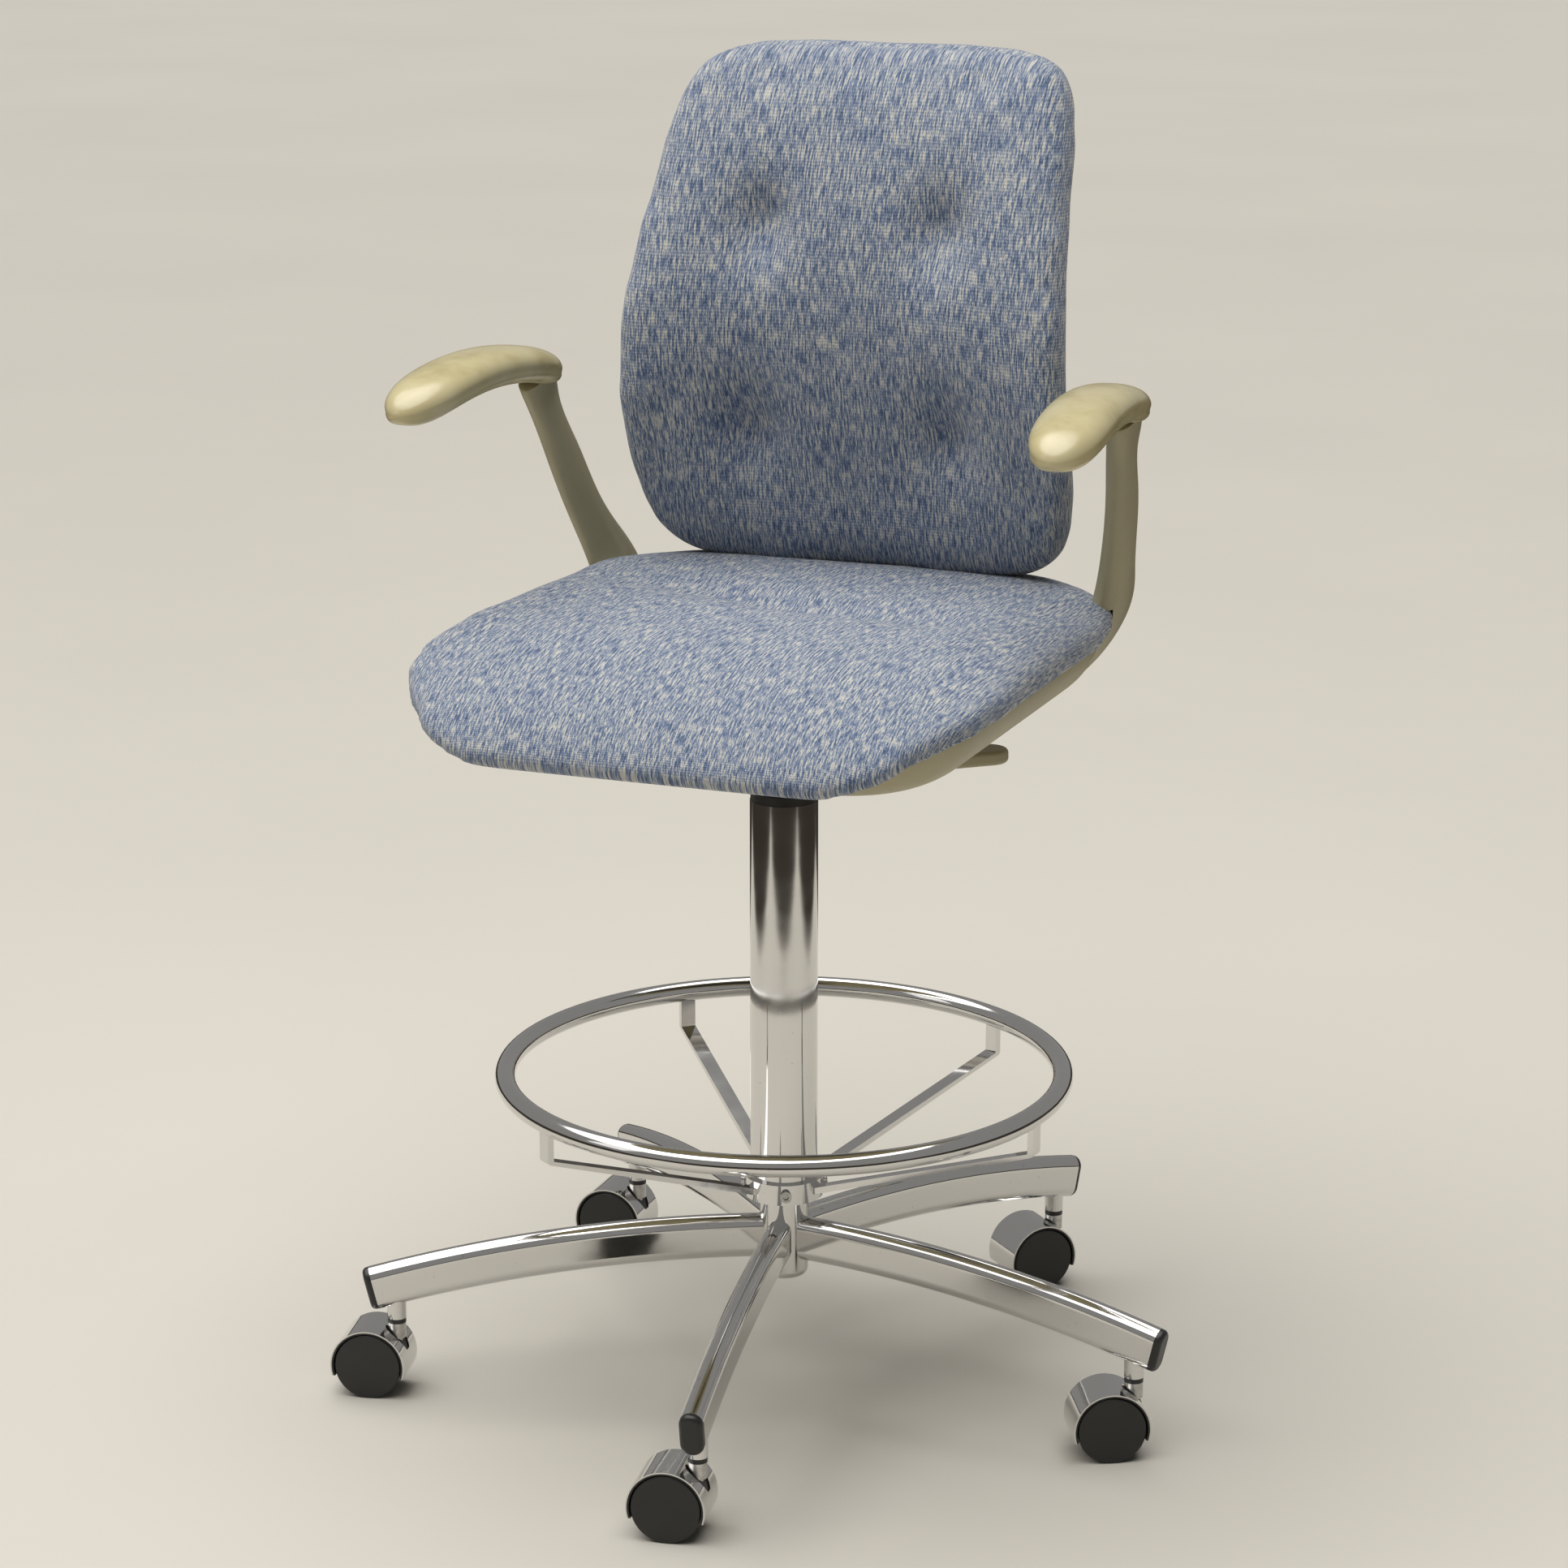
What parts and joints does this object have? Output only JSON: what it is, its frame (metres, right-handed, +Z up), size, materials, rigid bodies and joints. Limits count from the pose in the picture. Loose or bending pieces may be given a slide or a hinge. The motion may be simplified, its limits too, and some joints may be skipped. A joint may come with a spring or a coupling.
{
  "type": "adjustable swivel stool",
  "caption": "Drafting-height swivel chair with padded seat and tall back, armrests, gas column, footring and a caster base.",
  "frame": {"origin": "on the column's axis at floor level", "axes": "+Z up along the column; the seat faces -Y; +X is the sitter's left-hand side seen from the front, the viewer's right"},
  "size_m": [0.6436, 0.6215, 1.0138],
  "materials": {
    "chrome": "polished chrome plate",
    "steel": "bright zinc or ground steel",
    "black_paint": "satin black paint",
    "black_nylon": "moulded black nylon",
    "beige_plastic": "satin grey-beige moulding",
    "cream_plastic": "glossy yellowed cream moulding",
    "blue_fabric": "blue and grey-beige melange upholstery"
  },
  "bodies": {
    "base": {"hub_tube": "chrome", "hub_end_cap": "chrome", "base_arm_1": "chrome", "base_arm_2": "chrome", "base_arm_3": "chrome", "base_arm_4": "chrome", "base_arm_5": "chrome", "arm_end_caps": "black_nylon", "caster_sockets": "chrome", "column_tube": "chrome", "guide_bush": "black_nylon", "footring": "chrome", "footring_struts": "chrome", "strut_collar": "chrome", "collar_screws": "steel", "rod_plate": "steel", "bearing_lower_race": "steel", "bearing_balls": "steel"},
    "caster_1": {"caster_1_fender": "black_nylon", "caster_1_hood": "chrome", "caster_1_pins": "steel"},
    "caster_1_roller": {"caster_1_wheels": "black_nylon"},
    "caster_2": {"caster_2_fender": "black_nylon", "caster_2_hood": "chrome", "caster_2_pins": "steel"},
    "caster_2_roller": {"caster_2_wheels": "black_nylon"},
    "caster_3": {"caster_3_fender": "black_nylon", "caster_3_hood": "chrome", "caster_3_pins": "steel"},
    "caster_3_roller": {"caster_3_wheels": "black_nylon"},
    "caster_4": {"caster_4_fender": "black_nylon", "caster_4_hood": "chrome", "caster_4_pins": "steel"},
    "caster_4_roller": {"caster_4_wheels": "black_nylon"},
    "caster_5": {"caster_5_fender": "black_nylon", "caster_5_hood": "chrome", "caster_5_pins": "steel"},
    "caster_5_roller": {"caster_5_wheels": "black_nylon"},
    "gas_rod": {"piston_rod": "steel", "piston": "steel", "bearing_upper_race": "steel", "rod_clip": "steel"},
    "seat": {"gas_cylinder": "black_paint", "mechanism_box": "black_paint", "lever_pin": "steel", "hinge_pin": "steel", "seat_shell": "beige_plastic", "seat_cushion": "blue_fabric", "seat_screws": "steel", "arm_post_left": "beige_plastic", "arm_post_right": "beige_plastic", "arm_pad_left": "cream_plastic", "arm_pad_right": "cream_plastic"},
    "button": {"gas_button": "steel"},
    "lever": {"height_lever": "beige_plastic"},
    "back_support": {"back_bar": "black_paint"},
    "backrest": {"back_slide": "black_nylon", "back_shell": "beige_plastic", "back_cushion": "blue_fabric"},
    "knob": {"clamp_knob": "black_nylon"}
  },
  "joints": [
    {"name": "seat_swivel", "type": "hinge", "parent": "base", "child": "gas_rod", "pos_m": [0, 0, 0.137], "axis": [0, 0, 1], "continuous": true},
    {"name": "seat_lift", "type": "slide", "parent": "gas_rod", "child": "seat", "axis": [0, 0, 1], "range_m": [0, 0.2]},
    {"name": "height_lever_pull", "type": "hinge", "parent": "seat", "child": "lever", "pos_m": [0.02881, 0.02478, 0.5284], "axis": [0.6521, -0.7581, 0], "range_deg": [0, 3], "stiffness_Nm_per_rad": 3},
    {"name": "button_press", "type": "slide", "parent": "seat", "child": "button", "axis": [0, 0, -1], "range_m": [0, 0.0022]},
    {"name": "back_tilt", "type": "hinge", "parent": "seat", "child": "back_support", "pos_m": [0, 0.15, 0.505], "axis": [-1, 0, 0], "range_deg": [-4, 5]},
    {"name": "back_height", "type": "slide", "parent": "back_support", "child": "backrest", "axis": [0, 0, 1], "range_m": [0, 0.06]},
    {"name": "knob_turn", "type": "hinge", "parent": "backrest", "child": "knob", "pos_m": [0, 0.26, 0.69], "axis": [0, 1, 0], "range_deg": [0, 360]},
    {"name": "caster_1_swivel", "type": "hinge", "parent": "base", "child": "caster_1", "pos_m": [0.05031, -0.29747, 0.07], "axis": [0, 0, 1], "continuous": true},
    {"name": "caster_1_roll", "type": "hinge", "parent": "caster_1", "child": "caster_1_roller", "pos_m": [0.03117, -0.30061, 0.026], "axis": [-0.1616, 0.9869, 0], "continuous": true},
    {"name": "caster_2_swivel", "type": "hinge", "parent": "base", "child": "caster_2", "pos_m": [0.29846, -0.04407, 0.07], "axis": [0, 0, 1], "continuous": true},
    {"name": "caster_2_roll", "type": "hinge", "parent": "caster_2", "child": "caster_2_roller", "pos_m": [0.28138, -0.05327, 0.026], "axis": [-0.4741, 0.8805, 0], "continuous": true},
    {"name": "caster_3_swivel", "type": "hinge", "parent": "base", "child": "caster_3", "pos_m": [0.13415, 0.27024, 0.07], "axis": [0, 0, 1], "continuous": true},
    {"name": "caster_3_roll", "type": "hinge", "parent": "caster_3", "child": "caster_3_roller", "pos_m": [0.1206, 0.25635, 0.026], "axis": [-0.7157, 0.6984, 0], "continuous": true},
    {"name": "caster_4_swivel", "type": "hinge", "parent": "base", "child": "caster_4", "pos_m": [-0.21556, 0.21109, 0.07], "axis": [0, 0, 1], "continuous": true},
    {"name": "caster_4_roll", "type": "hinge", "parent": "caster_4", "child": "caster_4_roller", "pos_m": [-0.23495, 0.21061, 0.026], "axis": [-0.0244, 0.9997, 0], "continuous": true},
    {"name": "caster_5_swivel", "type": "hinge", "parent": "base", "child": "caster_5", "pos_m": [-0.26737, -0.13978, 0.07], "axis": [0, 0, 1], "continuous": true},
    {"name": "caster_5_roll", "type": "hinge", "parent": "caster_5", "child": "caster_5_roller", "pos_m": [-0.28632, -0.14391, 0.026], "axis": [-0.213, 0.977, 0], "continuous": true}
  ],
  "couplings": [
    {"joint": "button_press", "follows": "height_lever_pull", "m_per_rad": 0.04}
  ]
}
